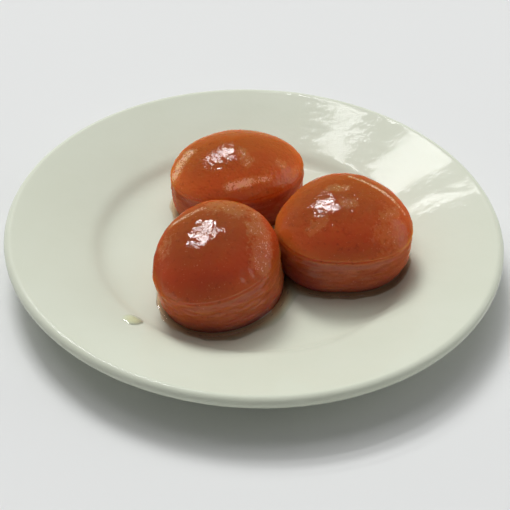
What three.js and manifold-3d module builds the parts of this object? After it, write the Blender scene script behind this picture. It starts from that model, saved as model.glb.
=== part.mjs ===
// Three syrup-soaked cheese dumplings on a round glazed plate, with the syrup that has run off them.
// Millimetres, +Z up. The origin is the middle of the plate's foot, on the surface that it stands on.
import * as THREE from "three";
import { mergeVertices } from "three/addons/utils/BufferGeometryUtils.js";
import Module from "manifold-3d";

const wasm = await Module();
wasm.setup();

// Plate: a flat well, a curved wall, a sloping rim and a thick rounded edge, on a turned foot ring
const plateDiameter = 170;
const plateHeight = 17.2;
const edgeRadius = 2.2;
const floorHeight = 6.4;
const floorRadius = 44;
const rimRadius = 58.5;
const rimHeight = 10.4;
const wallLow = 54.5;
const wallHigh = new THREE.Vector2(52, 8.7);
const footRadius = 47.5;
const footWidth = 2.6;
const footRecess = 2;
const footShoulder = new THREE.Vector2(55, 5);
const footBevel = 0.6;
const plateSides = 72;
const plateCurveSteps = 6;
const footCurveSteps = 4;

// Dumplings: each is a soft ball, widest at its girth, with a crease round it above a narrower band.
// Halves are half-lengths at the girth, turns are degrees, tilts are the crease's rise to each side,
// and insets are shares of the width.
const dumplings = [
  {
    name: "dumpling_front",
    at: [-12.2, -26.2],
    half: [23.2, 20.1],
    turn: 57,
    height: 28.7,
    girth: 14,
    fullness: 2.2,
    lean: [0.4, 8],
    lump: 0.018,
    lumpTurn: 144,
    crease: 14.8,
    creaseTilt: [2.3, -1.4],
    inset: 0.012,
    foot: 0.97,
    footShift: [2, 4.2],
    tuck: 2.4,
    syrup: 3.4,
    syrupShift: [0.8, 0],
  },
  {
    name: "dumpling_right",
    at: [30.5, -4.4],
    half: [23.2, 22.8],
    turn: 4,
    height: 28.6,
    girth: 13.8,
    fullness: 2.06,
    lean: [0.1, 1.8],
    lump: 0.032,
    lumpTurn: 92,
    crease: 16.5,
    creaseTilt: [0, 0],
    inset: 0.03,
    foot: 0.87,
    footShift: [0.3, 2],
    tuck: 3.2,
    syrup: 3.6,
    syrupShift: [-0.4, 0.6],
  },
  {
    name: "dumpling_back",
    at: [-7.2, 27.2],
    half: [24.4, 20.2],
    turn: 26,
    height: 25,
    girth: 13.8,
    fullness: 1.65,
    lean: [0.2, -0.1],
    lump: 0.02,
    lumpTurn: 100,
    crease: 14.5,
    creaseTilt: [0, 0],
    inset: 0.012,
    foot: 0.92,
    footShift: [0.5, -0.4],
    tuck: 2.1,
    syrup: 4.6,
    syrupShift: [2, -2],
  },
];
const dumplingSides = 48;
const domeRows = 9;
const bandRows = 6;
const ledge = 0.06;

// Syrup: a thin pool round the dumplings' feet and one drop at the front left of the well
const poolThickness = 0.8;
const poolRows = [0.75, 0.88, 0.96];
const poolSides = 32;
const roundingSteps = 3;
const drop = { at: [-38.3, -42.2], half: [3.4, 3.3], turn: 0, thickness: 0.9 };
const dropSides = 20;
const dropSteps = 5;

// Clearances: what rests on the plate, and what the pool leaves round each dumpling
const restGap = 0.15;
const poolGap = 0.3;
const weldDistance = 1e-3;

const glaze = new THREE.MeshStandardMaterial({ color: 0xe6e6d6, roughness: 0.12, metalness: 0 });
const friedSkin = () => new THREE.MeshStandardMaterial({ color: 0x9a4320, roughness: 0.22, metalness: 0 });
const syrupAmber = () => new THREE.MeshStandardMaterial({ color: 0xc9b98a, roughness: 0.05, metalness: 0 });

// A closed, indexed copy of a geometry: shared corners merged, collapsed triangles dropped
function closed(geometry) {
  const bare = geometry.index ? geometry.toNonIndexed() : geometry.clone();
  bare.deleteAttribute("normal");
  bare.deleteAttribute("uv");
  const merged = mergeVertices(bare, weldDistance);
  const corners = Array.from(merged.index.array);
  const kept = [];
  for (let i = 0; i < corners.length; i += 3) {
    const [a, b, c] = corners.slice(i, i + 3);
    if (a !== b && b !== c && c !== a) kept.push(a, b, c);
  }
  merged.setIndex(kept);
  return merged;
}

function toSolid(geometry) {
  const vertProperties = new Float32Array(geometry.attributes.position.array);
  const triVerts = new Uint32Array(geometry.index.array);
  return new wasm.Manifold(new wasm.Mesh({ numProp: 3, vertProperties, triVerts }));
}

function toGeometry(solid) {
  const mesh = solid.getMesh();
  const geometry = new THREE.BufferGeometry();
  geometry.setAttribute("position", new THREE.BufferAttribute(mesh.vertProperties, 3));
  geometry.setIndex(new THREE.BufferAttribute(mesh.triVerts, 1));
  return geometry;
}

function named(name, geometry, material) {
  const mesh = new THREE.Mesh(geometry, material);
  mesh.name = name;
  return mesh;
}

// A turned shape about +Z: its profile holds radius and height
function turned(profile, sides) {
  return new THREE.LatheGeometry(profile, sides).rotateX(Math.PI / 2);
}

// Plate outlines, both from the axis outwards
function plateUpperOutline() {
  const edgeMiddle = new THREE.Vector2(plateDiameter / 2 - edgeRadius, plateHeight - edgeRadius);
  const outline = new THREE.Path();
  outline.moveTo(0, floorHeight);
  outline.lineTo(floorRadius, floorHeight);
  outline.bezierCurveTo(wallLow, floorHeight, wallHigh.x, wallHigh.y, rimRadius, rimHeight);
  const rimSlope = Math.atan2(edgeMiddle.y + edgeRadius - rimHeight, edgeMiddle.x - rimRadius);
  const rimNormal = rimSlope + Math.PI / 2;
  outline.absarc(edgeMiddle.x, edgeMiddle.y, edgeRadius, rimNormal, rimNormal - Math.PI, true);
  return outline.getPoints(plateCurveSteps);
}

function plateLowerOutline() {
  const inner = footRadius - footWidth / 2;
  const outer = footRadius + footWidth / 2;
  const outline = new THREE.Path();
  outline.moveTo(0, footRecess);
  outline.lineTo(inner - 2 * footBevel, footRecess);
  outline.lineTo(inner - footBevel, footBevel);
  outline.lineTo(inner, 0);
  outline.lineTo(outer, 0);
  outline.lineTo(outer + footBevel, footBevel);
  const bend = new THREE.Vector2(outer + 2 * footBevel, footShoulder.y - footBevel);
  outline.quadraticCurveTo(bend.x, bend.y, footShoulder.x, footShoulder.y);
  return outline.getPoints(footCurveSteps);
}

const plateTopPoints = plateUpperOutline();

// Height of the plate's upper face at a distance from the axis
function plateTop(radius) {
  const next = plateTopPoints.findIndex((point) => point.x >= radius);
  const outer = plateTopPoints[next];
  const inner = plateTopPoints[Math.max(next - 1, 0)];
  const run = Math.max(outer.x - inner.x, 1e-6);
  return inner.y + ((outer.y - inner.y) * (radius - inner.x)) / run;
}

function plate() {
  const profile = [...plateLowerOutline(), ...plateTopPoints.slice().reverse()];
  return named("plate", closed(turned(profile, plateSides)), glaze);
}

// Rows of a dumpling: share 0 at the base's middle and 1 at its side; level -1 at the base, 0 at the
// crease and 1 on top
function dumplingRows() {
  const rows = [new THREE.Vector2(0, -1)];
  for (let row = 0; row <= bandRows; row++) rows.push(new THREE.Vector2(1, row / bandRows - 1));
  for (let row = 0; row <= domeRows; row++) {
    const level = Math.sin((row / domeRows) * (Math.PI / 2));
    rows.push(new THREE.Vector2(1, ledge + (1 - ledge) * level));
  }
  return rows;
}

// How wide a dumpling is at a height above its base, as a share of its girth
function widthShare(dumpling, rise) {
  const { height, girth, fullness, foot, tuck } = dumpling;
  if (rise > girth) {
    const climb = Math.min((rise - girth) / (height - girth), 1);
    return (1 - climb ** fullness) ** (1 / fullness);
  }
  const depth = 1 - rise / girth;
  return (1 - (1 - foot ** tuck) * depth ** tuck) ** (1 / tuck);
}

// Moves a turned shape's points to the dumpling's own plan, about its own middle
function planPoint(dumpling, x, y, grow) {
  const angle = Math.atan2(y, x);
  const lump = 1 + dumpling.lump * Math.cos(3 * angle + THREE.MathUtils.degToRad(dumpling.lumpTurn));
  const along = x * (dumpling.half[0] * lump + grow);
  const across = y * (dumpling.half[1] * lump + grow);
  const turn = THREE.MathUtils.degToRad(dumpling.turn);
  return new THREE.Vector2(along, across).rotateAround(new THREE.Vector2(), turn);
}

function creaseHeight(dumpling, direction) {
  const [tiltX, tiltY] = dumpling.creaseTilt;
  return dumpling.crease + tiltX * Math.cos(direction) + tiltY * Math.sin(direction);
}

function dumplingGeometry(dumpling, grow = 0, sink = 0) {
  const { at, height, girth, lean, inset, footShift } = dumpling;
  const geometry = turned(dumplingRows(), dumplingSides);
  const position = geometry.attributes.position;
  for (let i = 0; i < position.count; i++) {
    const level = position.getZ(i);
    const plan = planPoint(dumpling, position.getX(i), position.getY(i), grow);
    const crease = creaseHeight(dumpling, plan.angle());
    const rise = level < 0 ? (1 + level) * crease : crease + level * (height - crease);
    const narrowing = level > 0 ? 0 : inset;
    plan.multiplyScalar(widthShare(dumpling, rise) * (1 - narrowing));
    const above = Math.max(0, (rise - girth) / (height - girth)) ** 1.5;
    const below = Math.max(0, 1 - rise / girth);
    const x = at[0] + plan.x + footShift[0] * below + lean[0] * above;
    const y = at[1] + plan.y + footShift[1] * below + lean[1] * above;
    const seat = plateTop(Math.hypot(x, y)) - floorHeight;
    const z = floorHeight + restGap + rise + seat * Math.max(0, -level) - sink;
    position.setXYZ(i, x, y, z);
  }
  return closed(geometry);
}

// A flat puddle round one dumpling's foot, lying on the plate; level 0 is its underside, 1 its top
function puddle(dumpling) {
  const { at, half, foot, footShift, syrup, syrupShift } = dumpling;
  const outline = new THREE.Path();
  outline.moveTo(0, 0);
  for (const radius of poolRows) outline.lineTo(radius, 0);
  outline.lineTo(1, 0);
  outline.quadraticCurveTo(1, 1, poolRows.at(-1), 1);
  for (const radius of poolRows.slice(0, -1).reverse()) outline.lineTo(radius, 1);
  outline.lineTo(0, 1);
  const geometry = turned(outline.getPoints(roundingSteps), poolSides);
  const position = geometry.attributes.position;
  const spread = { ...dumpling, half: half.map((side) => side * foot) };
  for (let i = 0; i < position.count; i++) {
    const plan = planPoint(spread, position.getX(i), position.getY(i), syrup);
    const x = at[0] + footShift[0] + syrupShift[0] + plan.x;
    const y = at[1] + footShift[1] + syrupShift[1] + plan.y;
    position.setXYZ(i, x, y, plateTop(Math.hypot(x, y)) + restGap + poolThickness * position.getZ(i));
  }
  return toSolid(closed(geometry));
}

function syrupPool() {
  const joined = dumplings.map(puddle).reduce((pool, next) => pool.add(next));
  const sink = 2 * restGap + poolThickness;
  const feet = dumplings.map((dumpling) => toSolid(dumplingGeometry(dumpling, poolGap, sink)));
  const pool = feet.reduce((rest, foot) => rest.subtract(foot), joined);
  return named("syrup_pool", toGeometry(pool), syrupAmber());
}

// A flattened bead of syrup, following the slope that it lies on
function syrupDrop() {
  const outline = new THREE.Path();
  outline.moveTo(0, 0);
  outline.lineTo(0.6, 0);
  outline.lineTo(1, 0);
  outline.bezierCurveTo(1, 0.55, 0.7, 1, 0, 1);
  const geometry = turned(outline.getPoints(dropSteps), dropSides);
  const position = geometry.attributes.position;
  const shape = { half: drop.half, turn: drop.turn, lump: 0, lumpTurn: 0 };
  for (let i = 0; i < position.count; i++) {
    const plan = planPoint(shape, position.getX(i), position.getY(i), 0);
    const x = drop.at[0] + plan.x;
    const y = drop.at[1] + plan.y;
    position.setXYZ(i, x, y, plateTop(Math.hypot(x, y)) + restGap + drop.thickness * position.getZ(i));
  }
  return named("syrup_drop", closed(geometry), syrupAmber());
}

const dish = new THREE.Group();
dish.add(plate());
for (const dumpling of dumplings) dish.add(named(dumpling.name, dumplingGeometry(dumpling), friedSkin()));
dish.add(syrupPool());
dish.add(syrupDrop());

export default dish;
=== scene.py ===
import math
from dataclasses import dataclass

import bmesh
import bpy
import numpy as np
from mathutils import Matrix, Vector


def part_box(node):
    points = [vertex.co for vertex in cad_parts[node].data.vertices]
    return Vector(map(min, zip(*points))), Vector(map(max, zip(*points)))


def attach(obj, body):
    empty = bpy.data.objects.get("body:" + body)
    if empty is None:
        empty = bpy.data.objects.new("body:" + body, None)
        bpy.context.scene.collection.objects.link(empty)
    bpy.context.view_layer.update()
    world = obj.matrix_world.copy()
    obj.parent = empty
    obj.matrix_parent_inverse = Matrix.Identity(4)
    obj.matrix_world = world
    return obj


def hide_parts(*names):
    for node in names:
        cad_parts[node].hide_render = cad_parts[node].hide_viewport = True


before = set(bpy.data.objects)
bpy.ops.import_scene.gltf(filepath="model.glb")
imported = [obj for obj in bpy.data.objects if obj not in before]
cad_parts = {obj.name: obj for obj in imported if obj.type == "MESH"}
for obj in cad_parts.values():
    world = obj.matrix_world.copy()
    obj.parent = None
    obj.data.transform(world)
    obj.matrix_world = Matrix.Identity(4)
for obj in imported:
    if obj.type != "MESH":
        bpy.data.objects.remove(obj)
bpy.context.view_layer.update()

MM = 0.001
BODY = "root"

# Plate sizes in millimetres, as the solid has them
PLATE_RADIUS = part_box("plate")[1].x / MM
PLATE_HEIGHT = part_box("plate")[1].z / MM
EDGE_RADIUS = 2.2
FLOOR_HEIGHT = 6.4
FLOOR_RADIUS = 44.0
WALL_LOW = (54.5, FLOOR_HEIGHT)
WALL_HIGH = (52.0, 8.7)
RIM_START = (58.5, 10.4)
FOOT_RADIUS = 47.5
FOOT_WIDTH = 2.6
FOOT_RECESS = 2.0
FOOT_ROUNDING = 0.9
FOOT_BEND = 4.0
FOOT_SHOULDER = (55.0, 5.0)
PLATE_SIDES = 384

# Seeds of the glaze's slow waves and of its finer ripple, and the gap that its seam is closed over
WAVE_SEED = 5.0
RIPPLE_SEED = 8.0
SEAM_GAP = 1e-6

# What rests on the plate keeps this gap to it, in millimetres
REST_GAP = 0.15


@dataclass
class Dumpling:
    """One dumpling: lengths in millimetres, turns in degrees, the rest as shares."""

    name: str
    at: tuple  # its middle in plan
    half: tuple  # half its length and half its width
    turn: float  # of its length from +X
    height: float
    girth: float  # height at which it is widest
    fullness: float  # of the dome's curve, where 2 is an ellipse
    lean: tuple  # how far its top leans over
    lump: float  # three-sided swelling of its plan
    lump_turn: float
    crease: float  # height of its crease
    crease_tilt: tuple
    inset: float  # of the band below the crease
    foot: float  # width of its foot against its girth
    foot_shift: tuple
    tuck: float  # of the curve from the girth to the foot
    press: float  # swelling towards its neighbour
    wrinkle: float  # depth of the band's wrinkles
    syrup: float  # how far the film reaches from its foot
    syrup_shift: tuple
    lip: float  # how far the crease's lip stands out
    tone: float  # 0 is dark red skin, 1 is orange
    grain: float  # depth of the skin's grain
    seed: float


DUMPLINGS = [
    Dumpling(
        name="dumpling_front", at=(-12.2, -26.2), half=(23.2, 20.1), turn=57, height=28.7, girth=14.0,
        fullness=2.2, lean=(0.4, 8.0), lump=0.018, lump_turn=144, crease=14.8, crease_tilt=(2.3, -1.4),
        inset=0.012, foot=0.97, foot_shift=(2.0, 4.2), tuck=2.4, press=0.0, wrinkle=0.78, syrup=3.2,
        syrup_shift=(1.4, -0.4), lip=0.12, tone=0.0, grain=0.05, seed=33.7,
    ),
    Dumpling(
        name="dumpling_right", at=(30.5, -4.4), half=(23.2, 22.8), turn=4, height=28.6, girth=13.8,
        fullness=2.06, lean=(0.1, 1.8), lump=0.032, lump_turn=92, crease=16.5, crease_tilt=(0.0, 0.0),
        inset=0.03, foot=0.87, foot_shift=(0.3, 2.0), tuck=3.2, press=1.8, wrinkle=0.45, syrup=3.4,
        syrup_shift=(-0.4, 0.6), lip=0.3, tone=0.46, grain=0.08, seed=41.0,
    ),
    Dumpling(
        name="dumpling_back", at=(-7.2, 27.2), half=(24.4, 20.2), turn=26, height=25.0, girth=13.8,
        fullness=1.65, lean=(0.2, -0.1), lump=0.02, lump_turn=100, crease=14.5, crease_tilt=(0.0, 0.0),
        inset=0.012, foot=0.92, foot_shift=(0.5, -0.4), tuck=2.1, press=0.0, wrinkle=0.6, syrup=3.0,
        syrup_shift=(0.8, -0.6), lip=0.15, tone=1.0, grain=0.14, seed=56.9,
    ),
]

# Crease: height of its ledge as a share of the dome, and width of its lip in millimetres
LEDGE = 0.06
LIP_WIDTH = 0.4

# The lean grows with this power of the height above the girth
LEAN_BEND = 1.5

# Swelling towards a neighbour: its direction in degrees, and where it fades round it and upwards
PRESS_TURN = 212
PRESS_SPREAD = (0.55, 1.0)
PRESS_RISE = (12, 25)

# Painted shade: the side towards the key light is darkened to brown, and the front towards the viewer and
# the flanks to a deeper red
KEY_LIGHT_SIDE = (-0.19, 0.42, 0.89)
SHADED_FRONT_SIDE = (0.0, -0.82, 0.57)

# Where each mark of the skin fades in: by level, by slope or by direction
BAND_FADE = (-0.15, 0.08)
FREE_FADE = (-0.98, -0.85)
LIT_SIDE_SHADE_FADE = (0.35, 0.95)
SHADED_FRONT_FADE = (0.8, 1.0)
FLANK_FADE = (0.7, 1.0)
SUNK_FADE = (0.3, 1.0)
TOUCH_SWELL = (0.3, 1.8)
TOUCH_FADE = (-0.5, 0.1)

# Painted glow at the crease, amber, for light bounced from the plate and shining through the skin: reach
# above and below it in millimetres, and its strength by side and tone
CREASE_GLOW_ABOVE = 3.6
CREASE_GLOW_BELOW = 1.0
CREASE_GLOW_FADE = (-0.1, 0.6)
CREASE_GLOW_BEHIND = 0.3
CREASE_GLOW_STRENGTH = 0.72
CREASE_GLOW_TONE_GAIN = 0.15

# Dull places, where the syrup has run off the skin and a pale sheen is painted in place of reflections:
# ends of a line and reach in millimetres, strength
DULL_PLACES = [
    ((1.3, -20.6, 32.6), (2.6, -32.7, 28.3), 4.6, 0.8),
    ((-12.5, -12.5, 34.8), (-1.7, -14.0, 33.6), 5.0, 0.72),
    ((-27.2, -19.6, 31.0), (-23.1, -16.9, 33.1), 0.9, 1.1),
    ((-23.1, -16.9, 33.1), (-16.9, -13.8, 34.6), 1.1, 1.2),
    ((-28.0, -26.1, 30.5), (-28.9, -31.3, 28.8), 3.0, 0.6),
    ((25.0, -0.5, 34.7), (29.6, -0.5, 35.1), 2.2, 0.8),
    ((30.0, -8.6, 34.7), (31.5, -8.0, 34.6), 2.4, 0.8),
    ((22.2, -14.4, 32.3), (19.2, -17.8, 29.8), 2.6, 0.7),
    ((31.7, 7.0, 33.9), (39.6, 3.1, 33.4), 0.9, 1.1),
    ((39.6, 3.1, 33.4), (47.0, -2.7, 31.0), 1.2, 1.2),
    ((47.0, -2.7, 31.0), (49.8, -5.6, 29.0), 0.9, 1.1),
    ((45.5, -10.5, 31.0), (43.5, -19.0, 28.4), 5.5, 0.62),
    ((-5.6, 22.9, 31.0), (-3.3, 19.4, 29.8), 2.4, 0.9),
    ((-9.2, 10.0, 25.5), (-1.6, 12.9, 26.2), 1.9, 1.3),
    ((-1.6, 12.9, 26.2), (4.5, 15.6, 25.8), 1.5, 1.0),
    ((8.0, 23.2, 27.4), (8.6, 22.6, 27.2), 2.0, 0.75),
    ((11.7, 20.1, 23.8), (14.7, 25.3, 23.2), 2.0, 0.55),
    ((-28.4, 18.3, 23.0), (-24.0, 27.6, 26.7), 2.6, 1.3),
]

# A dull place is whole to half its reach, and ends at one and a half times it
DULL_END = 1.5

# Fineness of a dumpling's mesh
DUMPLING_SIDES = 450
BASE_ROWS = 10
BAND_ROWS = 64
CREASE_ROWS = 8
DOME_ROWS = 122

# Syrup film in millimetres: thickness, climb at a dumpling and how soon that falls off, width of its
# thin edge, how far it reaches under a dumpling, how softly its outlines join, and its mesh
FILM_THICKNESS = 0.4
FILM_CLIMB = 1.2
FILM_CLIMB_WIDTH = 0.7
FILM_EDGE = 2.0
FILM_INSIDE = 1.4
FILM_JOIN = 1.1
FILM_CELL = 0.4
FILM_LOW = (-45, -55)
FILM_HIGH = (65, 60)

# Every liquid sinks this far into the glaze, and is nowhere thinner than this, in millimetres
LIQUID_SUNK = 0.06
LIQUID_LEAST = 0.01

# Fallen drop in millimetres: a shallow dome, cut by a sloping flat at its left end
DROP_AT = (-38.3, -42.2)
DROP_HALF = (3.4, 3.3)
DROP_THICKNESS = 0.55
DROP_FLAT_START = (-41.5, -43.1)
DROP_FLAT_SLOPE = (0.175, 0.15)
DROP_FLAT_LEAST = 0.02
DROP_CELL = 0.14
DROP_MARGIN = 5

# Window panes behind the plate: name, azimuth, elevation and height in degrees
WINDOW_PANES = [
    ("pane_top", -20, 61.7, 3.0),
    ("pane_middle", -22, 53.0, 6.2),
    ("pane_bottom", -23, 45.2, 1.8),
]
PANE_WIDTH = 18
PANE_RADIANCE = 27.0

# Side of the table in metres
TABLE_SIZE = 8

# Camera: the photograph's view, fitted to the plate's outline
CAMERA_AIM = Vector((0.48, -13.22, 15.0)) * MM
CAMERA_DISTANCE = 540 * MM
CAMERA_ELEVATION = math.radians(39.42)
CAMERA_ROLL = math.radians(2.08)
CAMERA_LENS = 113.5
CAMERA_SENSOR = 36
CAMERA_NEAREST = 0.01


# Node trees

class Nodes:
    """Adds nodes to a tree and joins their sockets."""

    def __init__(self, tree):
        self.tree = tree

    def feed(self, socket, value):
        if isinstance(value, bpy.types.NodeSocket):
            self.tree.links.new(value, socket)
        else:
            socket.default_value = value

    def add(self, kind, inputs=None, **settings):
        node = self.tree.nodes.new(kind)
        for name, value in settings.items():
            setattr(node, name, value)
        for name, value in (inputs or {}).items():
            self.feed(node.inputs[name], value)
        return node

    def math(self, operation, *values):
        node = self.add("ShaderNodeMath", dict(enumerate(values)), operation=operation)
        return node.outputs[0]

    def vector(self, operation, *values):
        node = self.add("ShaderNodeVectorMath", dict(enumerate(values)), operation=operation)
        return node.outputs[0]

    def scaled(self, vector, scale):
        node = self.add("ShaderNodeVectorMath", {0: vector, "Scale": scale}, operation="SCALE")
        return node.outputs[0]

    def swing(self, position, size, seed, detail=2.0):
        """Smooth noise from -1 to 1, whose lumps are about this size."""
        scale = self.math("DIVIDE", 1.0, size)
        inputs = {"Vector": position, "W": seed, "Scale": scale, "Detail": detail}
        noise = self.add("ShaderNodeTexNoise", inputs, noise_dimensions="4D")
        return self.math("MULTIPLY_ADD", noise.outputs["Fac"], 2.0, -1.0)


def geometry_tree(name, inputs):
    """A new geometry tree with named inputs: its nodes, and the sockets that the inputs come from."""
    tree = bpy.data.node_groups.new(name, "GeometryNodeTree")
    tree.interface.new_socket("Geometry", in_out="INPUT", socket_type="NodeSocketGeometry")
    for label, kind in inputs.items():
        tree.interface.new_socket(label, in_out="INPUT", socket_type=kind)
    tree.interface.new_socket("Geometry", in_out="OUTPUT", socket_type="NodeSocketGeometry")
    nodes = Nodes(tree)
    return nodes, nodes.add("NodeGroupInput").outputs


def end_tree(nodes, geometry, material):
    """Every tree ends alike: real faces, shaded smooth, in their material."""
    real = nodes.add("GeometryNodeRealizeInstances", {"Geometry": geometry})
    smooth = nodes.add("GeometryNodeSetShadeSmooth", {"Geometry": real.outputs[0]})
    finish = {"Geometry": smooth.outputs[0], "Material": material}
    painted = nodes.add("GeometryNodeSetMaterial", finish)
    nodes.add("NodeGroupOutput", {"Geometry": painted.outputs[0]})
    return nodes.tree


def shaped_by(tree, name, mesh, values):
    """A plain mesh object: what the tree makes of a mesh, with its inputs set to these values."""
    piece = bpy.data.objects.new(name, mesh)
    bpy.context.scene.collection.objects.link(piece)
    modifier = piece.modifiers.new("shape", "NODES")
    modifier.node_group = tree
    for item in tree.interface.items_tree:
        if item.in_out == "INPUT" and item.name in values:
            modifier[item.identifier] = values[item.name]
    scene_graph = bpy.context.evaluated_depsgraph_get()
    shaped = piece.evaluated_get(scene_graph)
    result = bpy.data.meshes.new_from_object(shaped, depsgraph=scene_graph)
    piece.modifiers.remove(modifier)
    piece.data = result
    result.name = name
    return piece


def face_outwards(mesh):
    work = bmesh.new()
    work.from_mesh(mesh)
    bmesh.ops.recalc_face_normals(work, faces=work.faces)
    work.to_mesh(mesh)
    work.free()


# Plate

def curve_points(start, first, second, end, steps):
    """Points along a cubic curve, its start left out."""
    t = np.linspace(0, 1, steps + 1)[1:, None]
    ends = (1 - t) ** 3 * np.array(start) + t**3 * np.array(end)
    return ends + 3 * (1 - t) ** 2 * t * np.array(first) + 3 * (1 - t) * t**2 * np.array(second)


def line_points(start, end, steps):
    """Points along a straight line, its start left out."""
    t = np.linspace(0, 1, steps + 1)[1:, None]
    return np.array(start) * (1 - t) + np.array(end) * t


def arc_points(middle, radius, first, last, steps):
    """Points along an arc from one angle to another."""
    angle = np.linspace(first, last, steps + 1)
    return np.array(middle) + radius * np.stack([np.cos(angle), np.sin(angle)], 1)


def plate_upper_outline():
    """Radius and height of the upper face, from the axis outwards, the edge's middle, the rim's slope."""
    middle = np.array([PLATE_RADIUS - EDGE_RADIUS, PLATE_HEIGHT - EDGE_RADIUS])
    slope = math.atan2(middle[1] + EDGE_RADIUS - RIM_START[1], middle[0] - RIM_START[0])
    rim_end = middle + EDGE_RADIUS * np.array([-math.sin(slope), math.cos(slope)])
    floor_middle = (0.0, FLOOR_HEIGHT)
    floor_edge = (FLOOR_RADIUS, FLOOR_HEIGHT)
    floor = line_points(floor_middle, floor_edge, steps=30)
    wall = curve_points(floor_edge, WALL_LOW, WALL_HIGH, RIM_START, steps=24)
    rim = line_points(RIM_START, rim_end, steps=24)
    return np.vstack([[floor_middle], floor, wall, rim]), middle, slope


def plate_lower_outline():
    """Radius and height of the underside, from the axis over the foot ring to the shoulder above it."""
    inner = FOOT_RADIUS - FOOT_WIDTH / 2
    outer = FOOT_RADIUS + FOOT_WIDTH / 2
    soft = FOOT_ROUNDING
    middle = (0.0, FOOT_RECESS)
    recess_edge = (inner - 2 * soft, FOOT_RECESS)
    recess = line_points(middle, recess_edge, steps=12)
    inside = curve_points(recess_edge, (inner - soft, FOOT_RECESS), (inner - soft, 0), (inner, 0), steps=8)
    sole = line_points((inner, 0), (outer, 0), steps=4)
    bend = (outer + soft, FOOT_BEND)
    outside = curve_points((outer, 0), (outer + soft, 0), bend, FOOT_SHOULDER, steps=14)
    return np.vstack([[middle], recess, inside, sole, outside])


UPPER_OUTLINE, EDGE_MIDDLE, RIM_SLOPE = plate_upper_outline()


def plate_top(radius):
    """Height of the plate's upper face at a distance from the axis, in millimetres."""
    return np.interp(radius, UPPER_OUTLINE[:, 0], UPPER_OUTLINE[:, 1])


def turning_tree():
    """Turns a profile about +Z and gives its face the slow waves of a thick glaze."""
    nodes, given = geometry_tree("turned_and_glazed", {
        "Sides": "NodeSocketInt",
        "Wave Size": "NodeSocketFloat",
        "Wave Depth": "NodeSocketFloat",
        "Ripple Size": "NodeSocketFloat",
        "Ripple Depth": "NodeSocketFloat",
        "Material": "NodeSocketMaterial",
    })
    profile = given["Geometry"]
    count = nodes.add("GeometryNodeAttributeDomainSize", {0: profile}, component="MESH")
    rows = count.outputs["Point Count"]
    columns = nodes.math("ADD", given["Sides"], 1)
    grid_inputs = {"Size X": 1.0, "Size Y": 1.0, "Vertices X": columns, "Vertices Y": rows}
    grid = nodes.add("GeometryNodeMeshGrid", grid_inputs).outputs["Mesh"]
    place = nodes.add("GeometryNodeInputPosition").outputs[0]
    across = nodes.add("ShaderNodeSeparateXYZ", {0: place}).outputs
    turn = nodes.math("MULTIPLY", nodes.math("ADD", across["X"], 0.5), 2 * math.pi)
    last_row = nodes.math("SUBTRACT", rows, 1)
    row = nodes.math("ROUND", nodes.math("MULTIPLY", nodes.math("ADD", across["Y"], 0.5), last_row))
    sample = {"Geometry": profile, "Value": place, "Index": row}
    point = nodes.add("GeometryNodeSampleIndex", sample, data_type="FLOAT_VECTOR", domain="POINT")
    rotation = {"Vector": point.outputs[0], "Angle": turn}
    turned = nodes.add("ShaderNodeVectorRotate", rotation, rotation_type="Z_AXIS")
    body = nodes.add("GeometryNodeSetPosition", {"Geometry": grid, "Position": turned.outputs[0]})
    seam = {"Geometry": body.outputs[0], "Distance": SEAM_GAP}
    closed = nodes.add("GeometryNodeMergeByDistance", seam)
    wave = nodes.swing(place, given["Wave Size"], WAVE_SEED)
    ripple = nodes.swing(place, given["Ripple Size"], RIPPLE_SEED)
    wave_push = nodes.math("MULTIPLY", wave, given["Wave Depth"])
    ripple_push = nodes.math("MULTIPLY", ripple, given["Ripple Depth"])
    normal = nodes.add("GeometryNodeInputNormal").outputs[0]
    offset = nodes.scaled(normal, nodes.math("ADD", wave_push, ripple_push))
    waved = nodes.add("GeometryNodeSetPosition", {"Geometry": closed.outputs[0], "Offset": offset})
    return end_tree(nodes, waved.outputs[0], given["Material"])


def make_plate(material):
    edge_start = RIM_SLOPE - math.pi / 2
    edge_end = RIM_SLOPE + math.pi / 2
    edge = arc_points(EDGE_MIDDLE, EDGE_RADIUS, edge_start, edge_end, steps=28)
    under = line_points(FOOT_SHOULDER, edge[0], steps=20)[:-1]
    outline = np.vstack([plate_lower_outline(), under, edge, UPPER_OUTLINE[:-1][::-1]]) * MM
    profile = bpy.data.meshes.new("plate_profile")
    profile.from_pydata([(r, 0, z) for r, z in outline], [], [])
    values = {
        "Sides": PLATE_SIDES,
        "Wave Size": 16 * MM,
        "Wave Depth": 0.12 * MM,
        "Ripple Size": 3.2 * MM,
        "Ripple Depth": 0.055 * MM,
        "Material": material,
    }
    plate = shaped_by(turning_tree(), "glazed_plate", profile, values)
    face_outwards(plate.data)
    return plate


# Dumplings

def smooth_step(value, low, high):
    share = np.clip((value - low) / (high - low), 0, 1)
    return share * share * (3 - 2 * share)


def dumpling_rows():
    """Share of the width, level and share of the inset, for each row of points.

    The level is -1 at the base, 0 at the crease and 1 on top.
    """
    base = [(share, -1.0, 1.0) for share in np.linspace(0, 1, BASE_ROWS + 1)]
    band = [(1.0, level, 1.0) for level in np.linspace(-1, 0, BAND_ROWS + 1)]
    fold = [(1.0, LEDGE * share, 1 - share**2) for share in np.linspace(0, 1, CREASE_ROWS + 1)]
    climb = np.sin(np.linspace(0, math.pi / 2, DOME_ROWS + 1))
    dome = [(1.0, LEDGE + (1 - LEDGE) * share, 0.0) for share in climb]
    return np.array(base[:-1] + band + fold[1:] + dome[1:])


def above_girth(dumpling, rise):
    """From 0 at the girth to 1 on top."""
    return np.clip((rise - dumpling.girth) / (dumpling.height - dumpling.girth), 0, 1)


def below_girth(dumpling, rise):
    """From 0 at the girth to 1 at the base."""
    return np.clip(1 - rise / dumpling.girth, 0, 1)


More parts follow.
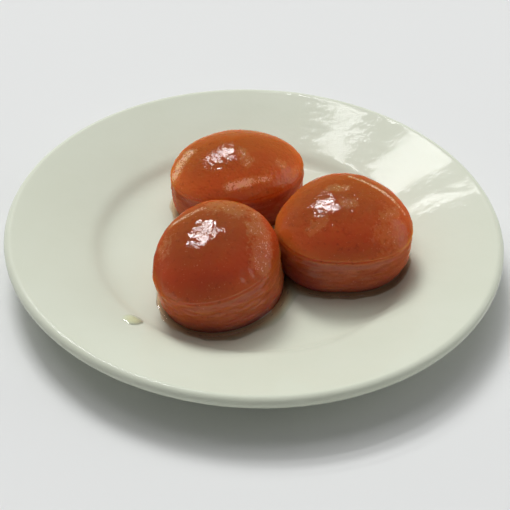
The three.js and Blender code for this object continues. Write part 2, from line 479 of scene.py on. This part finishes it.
def width_share(dumpling, rise):
    """How wide a dumpling is at a height above its base, as a share of its girth."""
    upper = (1 - above_girth(dumpling, rise) ** dumpling.fullness) ** (1 / dumpling.fullness)
    narrowing = 1 - dumpling.foot**dumpling.tuck
    depth = below_girth(dumpling, rise)
    lower = (1 - narrowing * depth**dumpling.tuck) ** (1 / dumpling.tuck)
    return upper * lower


def lump_share(dumpling, angle):
    """The plan's three-sided swelling, as a factor on its radius."""
    return 1 + dumpling.lump * np.cos(3 * angle + math.radians(dumpling.lump_turn))


def plan_place(dumpling, angle):
    """Where a point of the unit circle lies on the dumpling's own plan."""
    lump = lump_share(dumpling, angle)
    along = np.cos(angle) * dumpling.half[0] * lump
    across = np.sin(angle) * dumpling.half[1] * lump
    c = math.cos(math.radians(dumpling.turn))
    s = math.sin(math.radians(dumpling.turn))
    return along * c - across * s, along * s + across * c


def pressed(dumpling, direction):
    """How far a dumpling swells towards its neighbour, in millimetres."""
    facing = np.cos(direction - math.radians(PRESS_TURN))
    return dumpling.press * smooth_step(facing, *PRESS_SPREAD)


def dumpling_places(dumpling):
    """Positions in millimetres, levels, and heights above the crease, of a grid of rows and sides."""
    angle = np.arange(DUMPLING_SIDES) * 2 * math.pi / DUMPLING_SIDES
    share, level, inset = (column[:, None] for column in dumpling_rows().T)
    plan_x, plan_y = plan_place(dumpling, angle)
    direction = np.arctan2(plan_y, plan_x)
    tilt_x, tilt_y = dumpling.crease_tilt
    crease = dumpling.crease + (tilt_x * np.cos(direction) + tilt_y * np.sin(direction))
    rise = np.where(level < 0, (1 + level) * crease, crease + level * (dumpling.height - crease))
    past_crease = rise - crease
    lip = dumpling.lip / dumpling.half[0] * np.exp(-(((past_crease + LIP_WIDTH) / LIP_WIDTH) ** 2))
    width = share * (width_share(dumpling, rise) * (1 - dumpling.inset * inset) + lip)
    above = above_girth(dumpling, rise) ** LEAN_BEND
    below = below_girth(dumpling, rise)
    swell = share * pressed(dumpling, direction) * (1 - smooth_step(rise, *PRESS_RISE))
    plan_x = plan_x * width + swell * np.cos(direction)
    plan_y = plan_y * width + swell * np.sin(direction)
    x = dumpling.at[0] + plan_x + dumpling.foot_shift[0] * below + dumpling.lean[0] * above
    y = dumpling.at[1] + plan_y + dumpling.foot_shift[1] * below + dumpling.lean[1] * above
    seat = plate_top(np.hypot(x, y)) - FLOOR_HEIGHT
    z = FLOOR_HEIGHT + REST_GAP + rise + seat * np.clip(-level, 0, 1)
    places = np.stack([x, y, z], -1)
    return places, np.broadcast_to(level, x.shape), np.broadcast_to(past_crease, x.shape)


def rows_mesh(name, places):
    """A closed mesh of rings: the first and last ring are single points."""
    rows, sides = places.shape[:2]
    ring = np.arange(sides)
    after = (ring + 1) % sides
    starts = 1 + sides * np.arange(rows - 3)[:, None]
    quads = np.stack([starts + ring, starts + after, starts + sides + after, starts + sides + ring], -1)
    last = 1 + sides * (rows - 3)
    top = last + sides
    faces = quads.reshape(-1, 4).tolist()
    faces += np.stack([np.zeros(sides, int), 1 + after, 1 + ring], -1).tolist()
    faces += np.stack([last + ring, last + after, np.full(sides, top)], -1).tolist()
    points = np.vstack([places[0, :1], places[1:-1].reshape(-1, 3), places[-1, :1]])
    mesh = bpy.data.meshes.new(name)
    mesh.from_pydata((points * MM).tolist(), [], faces)
    return mesh


def ring_values(values):
    """One value for each point of a mesh of rings."""
    return np.concatenate([values[0, :1], values[1:-1].ravel(), values[-1, :1]])


def ring_normals(places):
    """Outward directions of a grid of rings."""
    around = np.roll(places, -1, 1) - np.roll(places, 1, 1)
    upward = np.gradient(places, axis=0)
    normal = np.cross(around, upward)
    return normal / np.maximum(np.linalg.norm(normal, axis=-1, keepdims=True), 1e-9)


def set_attribute(mesh, name, values):
    attribute = mesh.attributes.new(name, "FLOAT", "POINT")
    attribute.data.foreach_set("value", np.asarray(values, np.float32))


def dullness(places):
    """How dull the skin is, from 0 to 1 and over: it fades from each dull line outwards."""
    most = np.zeros(places.shape[:-1])
    for start, end, reach, strength in DULL_PLACES:
        start = np.array(start)
        along = np.array(end) - start
        share = np.clip((places - start) @ along / (along @ along), 0, 1)
        away = np.linalg.norm(places - start - share[..., None] * along, axis=-1)
        most = np.maximum(most, strength * np.clip(DULL_END - away / reach, 0, 1))
    return most


def skin_marks(dumpling, places, level, past_crease):
    """What the skin's relief and colours go by: a share for each point, by name."""
    normals = ring_normals(places)
    front = smooth_step(normals @ np.array(SHADED_FRONT_SIDE), *SHADED_FRONT_FADE)
    flank = smooth_step(np.hypot(normals[..., 0], normals[..., 1]), *FLANK_FADE)
    side = np.arctan2(places[..., 1] - dumpling.at[1], places[..., 0] - dumpling.at[0])
    # Painted glow at the crease, strongest on the side towards the viewer
    fold = np.exp(-((past_crease / np.where(past_crease > 0, CREASE_GLOW_ABOVE, CREASE_GLOW_BELOW)) ** 2))
    fold = fold * (CREASE_GLOW_BEHIND + (1 - CREASE_GLOW_BEHIND) * smooth_step(-np.sin(side), *CREASE_GLOW_FADE))
    low = 1 - smooth_step(level, *TOUCH_FADE)
    return {
        "band": 1 - smooth_step(level, *BAND_FADE),
        "free": smooth_step(level, *FREE_FADE),
        # Painted shade on the side towards the key light
        "lit_side_shade": smooth_step(normals @ np.array(KEY_LIGHT_SIDE), *LIT_SIDE_SHADE_FADE),
        # Painted shade on the front towards the viewer and on the flanks
        "soaked": np.maximum(front, flank),
        "flank": flank,
        "dull": dullness(places),
        "fold": fold * (CREASE_GLOW_STRENGTH + CREASE_GLOW_TONE_GAIN * dumpling.tone),
        "sunk": smooth_step(-level, *SUNK_FADE),
        "tone": np.full(level.shape, dumpling.tone),
        "touching": smooth_step(pressed(dumpling, side), *TOUCH_SWELL) * low,
    }


def skin_tree():
    """Raises the lumps, wrinkles and fine grain of fried skin full of syrup."""
    reliefs = ("Lump", "Dimple", "Grain", "Wrinkle")
    inputs = {"Seed": "NodeSocketFloat"}
    for relief in reliefs:
        inputs[relief + " Size"] = "NodeSocketFloat"
        inputs[relief + " Depth"] = "NodeSocketFloat"
    inputs["Material"] = "NodeSocketMaterial"
    nodes, given = geometry_tree("soaked_skin", inputs)
    seed = given["Seed"]

    def mark(name):
        named = {"Name": name}
        return nodes.add("GeometryNodeInputNamedAttribute", named, data_type="FLOAT").outputs[0]

    def raised(relief, position, detail=2.0):
        noise = nodes.swing(position, given[relief + " Size"], seed, detail)
        return nodes.math("MULTIPLY", noise, given[relief + " Depth"])

    place = nodes.add("GeometryNodeInputPosition").outputs[0]
    lumps = raised("Lump", place)
    dimples = raised("Dimple", place)
    rough = nodes.swing(place, given["Lump Size"], nodes.math("ADD", seed, 7.0))
    patches = nodes.math("MULTIPLY_ADD", rough, 1.6, 0.8)
    grain = nodes.math("MULTIPLY", raised("Grain", place, 0.5), nodes.math("MAXIMUM", patches, 0.4))
    stretched = nodes.vector("MULTIPLY", place, (0.3, 0.3, 1.0))
    wrinkles = nodes.math("MULTIPLY", raised("Wrinkle", stretched), mark("band"))
    total = nodes.math("ADD", nodes.math("ADD", lumps, dimples), nodes.math("ADD", grain, wrinkles))
    normal = nodes.add("GeometryNodeInputNormal").outputs[0]
    offset = nodes.scaled(normal, nodes.math("MULTIPLY", total, mark("free")))
    moved = nodes.add("GeometryNodeSetPosition", {"Geometry": given["Geometry"], "Offset": offset})
    return end_tree(nodes, moved.outputs[0], given["Material"])


def make_dumpling(dumpling, tree, material):
    places, level, past_crease = dumpling_places(dumpling)
    mesh = rows_mesh(dumpling.name + "_form", places)
    for name, values in skin_marks(dumpling, places, level, past_crease).items():
        set_attribute(mesh, name, ring_values(values))
    values = {
        "Seed": dumpling.seed,
        "Lump Size": 9 * MM,
        "Lump Depth": 0.5 * MM,
        "Dimple Size": 3.6 * MM,
        "Dimple Depth": 0.13 * MM,
        "Grain Size": 0.75 * MM,
        "Grain Depth": dumpling.grain * MM,
        "Wrinkle Size": 1.8 * MM,
        "Wrinkle Depth": dumpling.wrinkle * MM,
        "Material": material,
    }
    return shaped_by(tree, "soaked_" + dumpling.name, mesh, values)


# Syrup

def foot_distance(dumpling, x, y, grow, shift=(0, 0)):
    """Rough distance in millimetres outside a dumpling's foot outline, grown and shifted by so much."""
    c = math.cos(math.radians(dumpling.turn))
    s = math.sin(math.radians(dumpling.turn))
    dx = x - dumpling.at[0] - dumpling.foot_shift[0] - shift[0]
    dy = y - dumpling.at[1] - dumpling.foot_shift[1] - shift[1]
    along = dx * c + dy * s
    across = -dx * s + dy * c
    lump = lump_share(dumpling, np.arctan2(across, along))
    swell = pressed(dumpling, np.arctan2(dy, dx))
    a = dumpling.half[0] * dumpling.foot * lump + swell + grow
    b = dumpling.half[1] * dumpling.foot * lump + swell + grow
    share = np.hypot(along / a, across / b)
    steepness = np.hypot(along / a**2, across / b**2) / np.maximum(share, 1e-6)
    return (share - 1) / np.maximum(steepness, 1e-6)


def blended_least(values, width):
    """The least of several fields, rounded where they meet."""
    return -width * np.log(sum(np.exp(-value / width) for value in values))


def film_outline(x, y):
    """Distance outside the film's edge, which wanders a little."""
    slow = 0.45 * np.sin(0.31 * x + 0.9) * np.sin(0.27 * y + 0.4)
    quick = 0.25 * np.sin(0.83 * x - 0.61 * y)
    edges = [foot_distance(each, x, y, each.syrup, each.syrup_shift) for each in DUMPLINGS]
    return blended_least(edges, FILM_JOIN) + (slow + quick)


def nearest_foot(x, y):
    return np.min([foot_distance(dumpling, x, y, 0) for dumpling in DUMPLINGS], axis=0)


def film_field(x, y):
    """Below zero where the film lies: inside its edge, and only so far under a dumpling."""
    return np.maximum(film_outline(x, y), -nearest_foot(x, y) - FILM_INSIDE)


def film_depth(x, y):
    inside = np.clip(-film_outline(x, y), 0, None)
    climb = FILM_CLIMB * np.exp(-np.clip(nearest_foot(x, y), 0, None) / FILM_CLIMB_WIDTH)
    return (FILM_THICKNESS + climb) * (1 - np.exp(-inside / FILM_EDGE))


def drop_field(x, y):
    """Below zero inside the drop's outline."""
    along = (x - DROP_AT[0]) / DROP_HALF[0]
    across = (y - DROP_AT[1]) / DROP_HALF[1]
    return (np.hypot(along, across) - 1) * DROP_HALF[1]


def drop_depth(x, y):
    inside = np.clip(-drop_field(x, y) / DROP_HALF[1], 0, 1)
    dome = DROP_THICKNESS * (1 - (1 - inside) ** 2)
    start_x, start_y = DROP_FLAT_START
    rise = DROP_FLAT_SLOPE[0] * (x - start_x) + DROP_FLAT_SLOPE[1] * (y - start_y)
    flat = plate_top(math.hypot(start_x, start_y)) + rise - plate_top(np.hypot(x, y))
    return np.minimum(dome, np.maximum(flat, DROP_FLAT_LEAST))


def snapped(field, x, y, steps=4, reach=0.02, least_steep=0.05):
    """Moves points outside a field's edge back onto it."""
    for _ in range(steps):
        value = field(x, y)
        slope_x = (field(x + reach, y) - field(x - reach, y)) / (2 * reach)
        slope_y = (field(x, y + reach) - field(x, y - reach)) / (2 * reach)
        steep = np.maximum(slope_x**2 + slope_y**2, least_steep)
        back = np.clip(value, 0, None) / steep
        x = x - back * slope_x
        y = y - back * slope_y
    return x, y


def boundary_edges(quads):
    """The directed edges that only one face uses."""
    starts = quads.ravel()
    ends = np.roll(quads, -1, 1).ravel()
    size = quads.max() + 1
    forward = starts * size + ends
    backward = ends * size + starts
    lone = ~np.isin(forward, backward)
    return np.stack([starts[lone], ends[lone]], 1)


def make_liquid(name, field, depth, low, high, cell, material):
    """A closed skin of liquid on the plate: a fine grid trimmed to the field's edge."""
    across = np.arange(low[0], high[0], cell)
    along = np.arange(low[1], high[1], cell)
    x, y = np.meshgrid(across, along, indexing="ij")
    wet = field(x, y) < 0
    kept = wet[:-1, :-1] | wet[1:, :-1] | wet[:-1, 1:] | wet[1:, 1:]
    index = np.arange(x.size).reshape(x.shape)
    corners = np.stack([index[:-1, :-1], index[1:, :-1], index[1:, 1:], index[:-1, 1:]], -1)[kept]
    used, renumbered = np.unique(corners, return_inverse=True)
    quads = renumbered.reshape(-1, 4)
    px, py = snapped(field, x.ravel()[used], y.ravel()[used])
    ground = plate_top(np.hypot(px, py))
    deep = depth(px, py)
    top = np.stack([px, py, ground + np.maximum(deep, LIQUID_LEAST)], 1)
    bottom = np.stack([px, py, ground - LIQUID_SUNK], 1)
    count = len(used)
    sides = boundary_edges(quads)
    walls = np.stack([sides[:, 1], sides[:, 0], sides[:, 0] + count, sides[:, 1] + count], 1)
    faces = np.vstack([quads, quads[:, ::-1] + count, walls])
    mesh = bpy.data.meshes.new(name)
    mesh.from_pydata((np.vstack([top, bottom]) * MM).tolist(), [], faces.tolist())
    away = nearest_foot(px, py)
    set_attribute(mesh, "depth", np.concatenate([deep, deep]))
    set_attribute(mesh, "away", np.concatenate([away, away]))
    mesh.materials.append(material)
    mesh.shade_smooth()
    piece = bpy.data.objects.new(name, mesh)
    bpy.context.scene.collection.objects.link(piece)
    return piece


# Materials

def new_material(name):
    material = bpy.data.materials.new(name)
    material.use_nodes = True
    nodes = Nodes(material.node_tree)
    return material, nodes, material.node_tree.nodes["Principled BSDF"]


def mottle_group():
    """Shared by the finishes: soft blotches of one size, from 0 to 1."""
    tree = bpy.data.node_groups.new("mottle", "ShaderNodeTree")
    for label, value in {"Size": 0.01, "Seed": 0.0, "Contrast": 1.0}.items():
        socket = tree.interface.new_socket(label, in_out="INPUT", socket_type="NodeSocketFloat")
        socket.default_value = value
    tree.interface.new_socket("Value", in_out="OUTPUT", socket_type="NodeSocketFloat")
    nodes = Nodes(tree)
    given = nodes.add("NodeGroupInput").outputs
    place = nodes.add("ShaderNodeTexCoord").outputs["Object"]
    swing = nodes.swing(place, given["Size"], given["Seed"], detail=3.0)
    spread = {0: swing, 1: given["Contrast"], 2: 0.5}
    value = nodes.add("ShaderNodeMath", spread, operation="MULTIPLY_ADD")
    value.use_clamp = True
    nodes.add("NodeGroupOutput", {"Value": value.outputs[0]})
    return tree


MOTTLE = mottle_group()


def mottle(nodes, size, seed, contrast):
    group = nodes.add("ShaderNodeGroup", node_tree=MOTTLE)
    for label, value in {"Size": size, "Seed": seed, "Contrast": contrast}.items():
        group.inputs[label].default_value = value
    return group.outputs["Value"]


def read(nodes, name):
    return nodes.add("ShaderNodeAttribute", attribute_name=name).outputs["Fac"]


def between(nodes, value, low, high, first=0.0, last=1.0):
    """Eases from one level to another as a value goes from low to high."""
    inputs = {"Value": value, "From Min": low, "From Max": high, "To Min": first, "To Max": last}
    return nodes.add("ShaderNodeMapRange", inputs, interpolation_type="SMOOTHSTEP").outputs[0]


def blend(nodes, share, first, second, kind="MIX"):
    """A colour between two, or of one laid over the other, by a share that changes over the surface."""
    mix = nodes.add("ShaderNodeMix", data_type="RGBA", blend_type=kind)
    nodes.feed(mix.inputs["Factor"], share)
    colours = [socket for socket in mix.inputs if socket.type == "RGBA"]
    nodes.feed(colours[0], first)
    nodes.feed(colours[1], second)
    return [socket for socket in mix.outputs if socket.type == "RGBA"][0]


def ivory_glaze():
    material, nodes, surface = new_material("ivory_glaze")
    pale = (0.71, 0.745, 0.625, 1)
    deep = (0.68, 0.715, 0.585, 1)
    clouds = mottle(nodes, size=22 * MM, seed=1.0, contrast=0.9)
    nodes.feed(surface.inputs["Base Color"], blend(nodes, clouds, pale, deep))
    surface.inputs["Roughness"].default_value = 0.06
    surface.inputs["IOR"].default_value = 1.5
    surface.inputs["Specular IOR Level"].default_value = 0.085
    surface.inputs["Coat Weight"].default_value = 0.4
    surface.inputs["Coat Roughness"].default_value = 0.5
    place = nodes.add("ShaderNodeTexCoord").outputs["Object"]
    crinkle = nodes.swing(place, size=1.6 * MM, seed=6.0)
    bump = nodes.add("ShaderNodeBump", {"Height": crinkle, "Distance": 0.012 * MM, "Strength": 1.0})
    nodes.feed(surface.inputs["Normal"], bump.outputs[0])
    return material


def skin_colour(nodes, place):
    """Colour of skin full of syrup: red to orange, layered in the band, dark at the foot, with shade, glow
    and reflection painted in.
    """
    red = (0.45, 0.056, 0.011, 1)
    dark_red = (0.40, 0.046, 0.009, 1)
    orange = (0.60, 0.110, 0.016, 1)
    dark_orange = (0.54, 0.088, 0.012, 1)
    # Painted shade: darker browns for the side towards the key light
    red_lit_side_shade = (0.27, 0.062, 0.012, 1)
    orange_lit_side_shade = (0.32, 0.076, 0.012, 1)
    # Painted shade: deeper reds for the front towards the viewer and the flanks
    shaded_red = (0.32, 0.042, 0.009, 1)
    shaded_orange = (0.60, 0.095, 0.012, 1)
    flank_shade = (0.78, 0.85, 0.8, 1)
    band_brown = (0.38, 0.068, 0.019, 1)
    # The band's lighter streaks: the plate's reflection in its wrinkles, painted in
    band_reflection_streak = (0.53, 0.128, 0.048, 1)
    # Painted glow at the crease: light bounced from the plate and shining through the skin
    crease_glow_orange = (0.58, 0.140, 0.028, 1)
    crease_glow_amber = (0.66, 0.160, 0.028, 1)
    foot_brown = (0.46, 0.085, 0.052, 1)
    contact_shade = (0.55, 0.45, 0.6, 1)
    tone = read(nodes, "tone")
    blotches = mottle(nodes, size=9 * MM, seed=2.0, contrast=1.0)
    cool = blend(nodes, blotches, red, dark_red)
    warm = blend(nodes, blotches, orange, dark_orange)
    colour = blend(nodes, tone, cool, warm)
    # Painted shade: the side towards the key light turns darker brown
    lit_side_shaded = blend(nodes, tone, red_lit_side_shade, orange_lit_side_shade)
    colour = blend(nodes, read(nodes, "lit_side_shade"), colour, lit_side_shaded)
    # Painted shade: the front towards the viewer and the flanks turn a deeper red
    deep = blend(nodes, tone, shaded_red, shaded_orange)
    colour = blend(nodes, nodes.math("MULTIPLY", read(nodes, "soaked"), 0.8), colour, deep)
    colour = blend(nodes, read(nodes, "flank"), colour, flank_shade, "MULTIPLY")
    # Layered band: brown skin with lighter streaks painted as the plate's reflection in the wrinkles
    stretched = nodes.vector("MULTIPLY", place, (0.35, 0.35, 1.0))
    layers = nodes.swing(stretched, size=1.4 * MM, seed=9.0, detail=3.0)
    band = blend(nodes, between(nodes, layers, -0.6, 0.6), band_brown, band_reflection_streak)
    colour = blend(nodes, read(nodes, "band"), colour, band)
    # Painted glow: the crease turns a lighter amber
    fold = blend(nodes, tone, crease_glow_orange, crease_glow_amber)
    colour = blend(nodes, read(nodes, "fold"), colour, fold)
    colour = blend(nodes, read(nodes, "sunk"), colour, foot_brown)
    return blend(nodes, read(nodes, "touching"), colour, contact_shade, "MULTIPLY")


def flecked(nodes, place, colour, bare, dull):
    """A skin colour with freckles and pale specks, a pale sheen painted where the syrup has run off, and
    pale streaks painted as reflections where those places are strongest.
    """
    freckle = (0.62, 0.55, 0.5, 1)
    speck_veil = (0.16, 0.12, 0.07, 1)
    # Painted sheen: a pale veil where the syrup has run off; painted reflection: pale streaks where those
    # places are strongest
    dull_painted_sheen = (0.04, 0.050, 0.024, 1)
    painted_reflection_streak = (0.25, 0.25, 0.19, 1)
    spots = nodes.swing(place, size=1.3 * MM, seed=15.0, detail=3.0)
    freckles = between(nodes, spots, 0.1, 0.5, 0.0, 0.6)
    crumbs = nodes.swing(place, size=0.6 * MM, seed=12.0, detail=1.0)
    gritty = mottle(nodes, size=7 * MM, seed=6.0, contrast=1.6)
    specks = nodes.math("MULTIPLY", between(nodes, crumbs, 0.3, 0.5), gritty)
    # Pale streaks painted as reflections, where the dull places are strongest
    reflection_streaks = between(nodes, nodes.math("ADD", bare, crumbs), 0.9, 1.4)
    colour = blend(nodes, freckles, colour, freckle, "MULTIPLY")
    colour = blend(nodes, specks, colour, speck_veil, "ADD")
    colour = blend(nodes, dull, colour, dull_painted_sheen, "ADD")
    return blend(nodes, reflection_streaks, colour, painted_reflection_streak, "ADD")


def soaked_skin():
    """Fried skin full of syrup: wet over most of it, dull where the syrup has run off, with a pale sheen
    painted there as reflection.
    """
    material, nodes, surface = new_material("soaked_skin")
    place = nodes.add("ShaderNodeTexCoord").outputs["Object"]
    fine = mottle(nodes, size=1.1 * MM, seed=4.0, contrast=1.4)
    coarse = mottle(nodes, size=3 * MM, seed=7.0, contrast=1.2)
    ragged = nodes.math("MULTIPLY_ADD", nodes.math("ADD", fine, coarse), 0.5, -0.5)
    bare = nodes.math("ADD", read(nodes, "dull"), ragged)
    dull = between(nodes, bare, 0.33, 0.62)
    colour = flecked(nodes, place, skin_colour(nodes, place), bare, dull)
    nodes.feed(surface.inputs["Base Color"], colour)
    surface.inputs["Roughness"].default_value = 0.5
    surface.inputs["Specular IOR Level"].default_value = 0.0
    surface.inputs["Subsurface Weight"].default_value = 1.0
    surface.inputs["Subsurface Radius"].default_value = (1.0, 0.2, 0.05)
    surface.inputs["Subsurface Scale"].default_value = 17 * MM
    slant = nodes.add("ShaderNodeLayerWeight", {"Blend": 0.5}).outputs["Facing"]
    facing = between(nodes, slant, 0.25, 0.55, 1.0, 0.1)
    grazing = between(nodes, slant, 0.75, 0.92, 0.0, 0.8)
    film = nodes.math("MAXIMUM", facing, grazing)
    left = between(nodes, dull, 0, 1, 1.0, 0.4)
    nodes.feed(surface.inputs["Coat Weight"], nodes.math("MULTIPLY", film, left))
    surface.inputs["Coat Roughness"].default_value = 0.02
    surface.inputs["Coat IOR"].default_value = 1.5
    grain = nodes.swing(place, size=0.6 * MM, seed=3.0, detail=1.0)
    patches = nodes.swing(place, size=6 * MM, seed=6.0, detail=3.0)
    height = nodes.math("MULTIPLY", grain, between(nodes, patches, -0.1, 0.3, 0.04, 1.2))
    bump = nodes.add("ShaderNodeBump", {"Height": height, "Distance": 0.05 * MM, "Strength": 1.0})
    nodes.feed(surface.inputs["Coat Normal"], bump.outputs[0])
    return material


def clear_syrup():
    """Thin clear syrup: it tints what lies under it and mirrors the light; warm light from the dumplings
    is painted into its tint near the feet, and a broken pale glint is painted just outside each foot.
    """
    material, nodes, surface = new_material("clear_syrup")
    nodes.tree.nodes.remove(surface)
    clear = (1, 1, 1, 1)
    straw = (0.94, 0.90, 0.66, 1)
    syrup_and_bounce_tint = (1.0, 0.78, 0.62, 1)
    glint_ring_colour = (0.62, 0.47, 0.40, 1)
    thickness = nodes.math("MINIMUM", read(nodes, "depth"), 1.0)
    away = read(nodes, "away")
    # Near the feet the tint turns pinkish-orange: partly the syrup's colour, partly painted warm light
    # bounced from the dumplings into their shade
    near = between(nodes, away, 0.0, 4.0, 1.0, 0.0)
    tint = blend(nodes, near, blend(nodes, thickness, clear, straw), syrup_and_bounce_tint)
    place = nodes.add("ShaderNodeTexCoord").outputs["Object"]
    broken = between(nodes, nodes.swing(place, size=4 * MM, seed=2.0), -0.1, 0.3)
    # Painted glint: a broken pale ring a little outside each foot, for the light caught along the syrup's
    # edge
    glint_ring_inner = between(nodes, away, 1.2, 1.5, 0.0, 0.5)
    glint_ring_outer = between(nodes, away, 1.5, 1.9, 1.0, 0.0)
    glint_ring = nodes.math("MULTIPLY", nodes.math("MULTIPLY", glint_ring_inner, glint_ring_outer), broken)
    liquid = nodes.add("ShaderNodeBsdfTransparent", {"Color": tint}).outputs[0]
    glint_ring_shader = nodes.add("ShaderNodeBsdfDiffuse", {"Color": glint_ring_colour}).outputs[0]
    body = nodes.add("ShaderNodeMixShader", {0: glint_ring, 1: liquid, 2: glint_ring_shader}).outputs[0]
    gloss = nodes.add("ShaderNodeBsdfGlossy", {"Roughness": 0.03}).outputs[0]
    mirror = nodes.add("ShaderNodeFresnel", {"IOR": 1.47}).outputs[0]
    both = nodes.add("ShaderNodeMixShader", {0: mirror, 1: body, 2: gloss}).outputs[0]
    nodes.feed(nodes.tree.nodes["Material Output"].inputs["Surface"], both)
    return material


def pale_table():
    material, nodes, surface = new_material("pale_table")
    surface.inputs["Base Color"].default_value = (0.8, 0.81, 0.805, 1)
    surface.inputs["Roughness"].default_value = 0.9
    surface.inputs["Specular IOR Level"].default_value = 0.0
    return material


# Stage, light and camera

def make_floor():
    bpy.ops.mesh.primitive_plane_add(size=TABLE_SIZE)
    floor = bpy.context.object
    floor.name = "table"
    floor.data.materials.append(pale_table())


def direction_to(azimuth, elevation):
    """Unit vector: azimuth 0 is straight behind the plate, positive to the right; both in degrees."""
    a = math.radians(azimuth)
    e = math.radians(elevation)
    return Vector((math.sin(a) * math.cos(e), math.cos(a) * math.cos(e), math.sin(e)))


def make_panel(name, azimuth, elevation, wide, high, radiance, distance=8.0, mirrored=True):
    """A soft light panel facing the plate; its width and height are angles in degrees."""
    lamp = bpy.data.lights.new(name, "AREA")
    lamp.shape = "RECTANGLE"
    lamp.size = 2 * distance * math.tan(math.radians(wide / 2))
    lamp.size_y = 2 * distance * math.tan(math.radians(high / 2))
    lamp.energy = radiance * math.pi * lamp.size * lamp.size_y
    panel = bpy.data.objects.new(name, lamp)
    bpy.context.scene.collection.objects.link(panel)
    away = direction_to(azimuth, elevation)
    panel.location = away * distance
    panel.rotation_euler = away.to_track_quat("Z", "Y").to_euler()
    panel.visible_glossy = mirrored


def make_world():
    """A studio room: bright low down behind the plate, dim overhead and on the viewer's side."""
    world = bpy.data.worlds.new("studio")
    bpy.context.scene.world = world
    world.use_nodes = True
    nodes = Nodes(world.node_tree)
    place = nodes.add("ShaderNodeTexCoord").outputs["Generated"]
    axes = nodes.add("ShaderNodeSeparateXYZ", {0: place}).outputs
    behind = between(nodes, axes["Y"], 0.1, 0.8, 0.0, 0.35)
    low = between(nodes, axes["Z"], 0.15, 0.6, 1.0, 0.0)
    above = between(nodes, axes["Z"], 0.3, 0.9, 0.2, 0.16)
    level = nodes.math("MULTIPLY_ADD", behind, low, above)
    background = nodes.tree.nodes["Background"]
    nodes.feed(background.inputs["Strength"], level)
    background.inputs["Color"].default_value = (1, 1, 1, 1)


def make_lights():
    make_world()
    for name, azimuth, elevation, high in WINDOW_PANES:
        make_panel(name, azimuth, elevation, PANE_WIDTH, high, PANE_RADIANCE)
    make_panel(
        "sky", azimuth=-25, elevation=68, wide=56, high=40, radiance=1.7, distance=9.0, mirrored=False,
    )
    make_panel("side_wall", azimuth=77, elevation=21, wide=36, high=40, radiance=0.8)


def make_camera():
    forward = Vector((0, math.cos(CAMERA_ELEVATION), -math.sin(CAMERA_ELEVATION)))
    level_right = Vector((1, 0, 0))
    level_up = level_right.cross(forward)
    right = level_right * math.cos(CAMERA_ROLL) + level_up * math.sin(CAMERA_ROLL)
    up = level_up * math.cos(CAMERA_ROLL) - level_right * math.sin(CAMERA_ROLL)
    lens = bpy.data.cameras.new("view")
    lens.sensor_fit = "HORIZONTAL"
    lens.sensor_width = CAMERA_SENSOR
    lens.lens = CAMERA_LENS
    lens.clip_start = CAMERA_NEAREST
    camera = bpy.data.objects.new("view", lens)
    bpy.context.scene.collection.objects.link(camera)
    turn = Matrix((right, up, -forward)).transposed().to_4x4()
    camera.matrix_world = Matrix.Translation(CAMERA_AIM - forward * CAMERA_DISTANCE) @ turn
    bpy.context.scene.camera = camera


# Assembly

def settle(piece, node):
    """Hangs a finished piece on the body and hides the solid that it stands for."""
    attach(piece, BODY)
    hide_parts(node)


def make_syrup():
    syrup = clear_syrup()
    film = make_liquid("syrup_film", film_field, film_depth, FILM_LOW, FILM_HIGH, FILM_CELL, syrup)
    settle(film, "syrup_pool")
    low = (DROP_AT[0] - DROP_MARGIN, DROP_AT[1] - DROP_MARGIN)
    high = (DROP_AT[0] + DROP_MARGIN, DROP_AT[1] + DROP_MARGIN)
    drop = make_liquid("fallen_drop", drop_field, drop_depth, low, high, DROP_CELL, syrup)
    settle(drop, "syrup_drop")


def main():
    make_camera()
    make_floor()
    make_lights()
    settle(make_plate(ivory_glaze()), "plate")
    tree = skin_tree()
    skin = soaked_skin()
    for dumpling in DUMPLINGS:
        settle(make_dumpling(dumpling, tree, skin), dumpling.name)
    make_syrup()
    bpy.context.scene.view_settings.view_transform = "Standard"


main()
